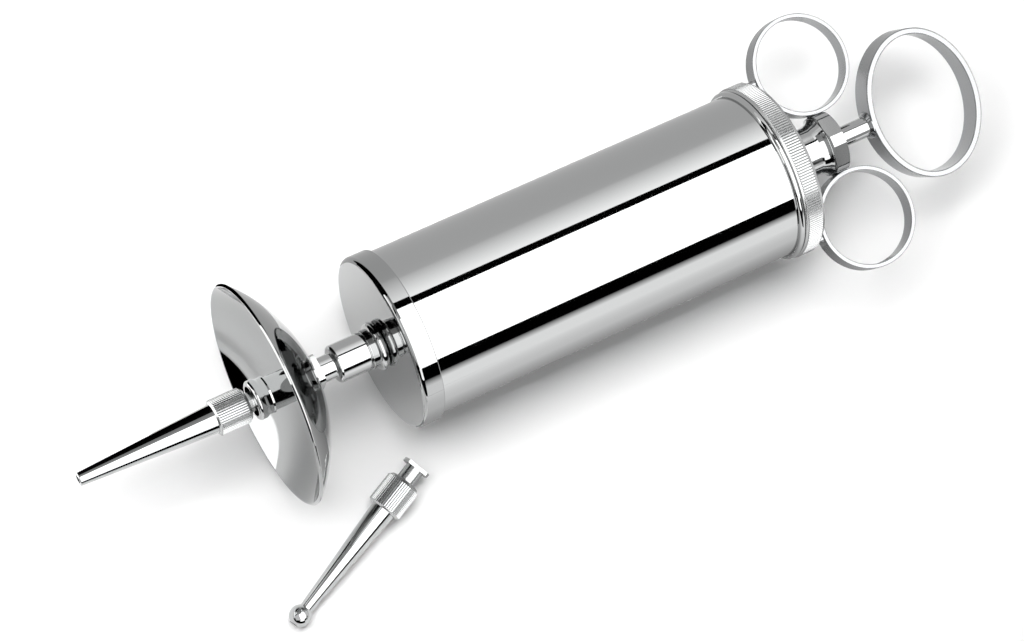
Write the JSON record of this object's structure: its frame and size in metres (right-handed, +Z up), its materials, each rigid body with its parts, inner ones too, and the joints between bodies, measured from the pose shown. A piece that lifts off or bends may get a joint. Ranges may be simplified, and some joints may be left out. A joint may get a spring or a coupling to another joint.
{
  "type": "ear syringe",
  "caption": "Plated metal ear syringe lying on its side: straight barrel, round splash shield, knurled cap with finger rings, plunger with thumb ring, and a spare ball tip.",
  "frame": {"origin": "middle of the box of the whole set on the surface that it lies on (Z = 0)", "axes": "+X along the floor from the nozzle tip to the thumb ring, +Z up, +Y to the left seen from the nozzle tip; the spare tip lies on the -Y side"},
  "size_m": [0.2238, 0.0802, 0.0512],
  "materials": {
    "plated_brass": "polished chrome plate on brass",
    "oiled_leather": "oiled, matt",
    "turned_brass": "turned, satin"
  },
  "bodies": {
    "barrel": {"barrel_tube": "plated_brass", "front_flange": "plated_brass", "nozzle_stem": "plated_brass", "thread_ring": "plated_brass", "lock_hub": "plated_brass", "lock_ring": "plated_brass", "shield_washer": "oiled_leather"},
    "shield": {"shield_dish": "plated_brass", "shield_boss": "plated_brass"},
    "tip_seal": {"tip_washer": "oiled_leather"},
    "straight_tip": {"straight_cannula": "plated_brass", "straight_collar": "plated_brass"},
    "ball_tip": {"ball_cannula": "plated_brass", "ball_collar": "plated_brass"},
    "cap_seal": {"cap_gasket": "oiled_leather"},
    "cap": {"knurled_cap": "plated_brass", "cap_bonnet": "plated_brass", "gland_body": "plated_brass", "rod_packing": "oiled_leather", "packing_follower": "turned_brass", "gland_cap": "plated_brass", "finger_ring_left": "plated_brass", "finger_ring_right": "plated_brass"},
    "piston": {"piston_front_plate": "turned_brass", "piston_rear_plate": "turned_brass", "piston_spacer": "turned_brass", "leather_cup_front": "oiled_leather", "leather_cup_rear": "oiled_leather"},
    "plunger": {"plunger_rod": "plated_brass", "thumb_ring": "plated_brass", "piston_nut": "turned_brass"}
  },
  "joints": [
    {"name": "plunger_slide", "type": "slide", "parent": "cap_seal", "child": "piston", "axis": [0.9992, 0, -0.0409], "range_m": [0, 0.083]},
    {"name": "plunger_turn", "type": "hinge", "parent": "piston", "child": "plunger", "pos_m": [0.00953, 0.00988, 0.02242], "axis": [0.9992, 0, -0.0409], "continuous": true},
    {"name": "cap_unscrew", "type": "hinge", "parent": "cap_seal", "child": "cap", "pos_m": [0.05749, 0.00988, 0.02046], "axis": [0.9992, 0, -0.0409], "range_deg": [0, 1620]},
    {"name": "cap_lift", "type": "slide", "parent": "barrel", "child": "cap_seal", "axis": [0.9992, 0, -0.0409], "range_m": [0, 0.0045]},
    {"name": "shield_turn", "type": "hinge", "parent": "barrel", "child": "shield", "pos_m": [-0.05642, 0.00988, 0.02512], "axis": [0.9992, 0, -0.0409], "continuous": true},
    {"name": "tip_pull", "type": "slide", "parent": "barrel", "child": "tip_seal", "axis": [-0.9992, 0, 0.0409], "range_m": [0, 0.008]},
    {"name": "tip_twist", "type": "hinge", "parent": "tip_seal", "child": "straight_tip", "pos_m": [-0.0764, 0.00988, 0.02593], "axis": [0.9992, 0, -0.0409], "range_deg": [-90, 0]},
    {"name": "ball_tip_lift", "type": "slide", "parent": "barrel", "child": "ball_tip", "axis": [0, 0, 1], "range_m": [0, 0.06]}
  ],
  "couplings": [
    {"joint": "cap_lift", "follows": "cap_unscrew", "m_per_rad": 0.00015915}
  ]
}
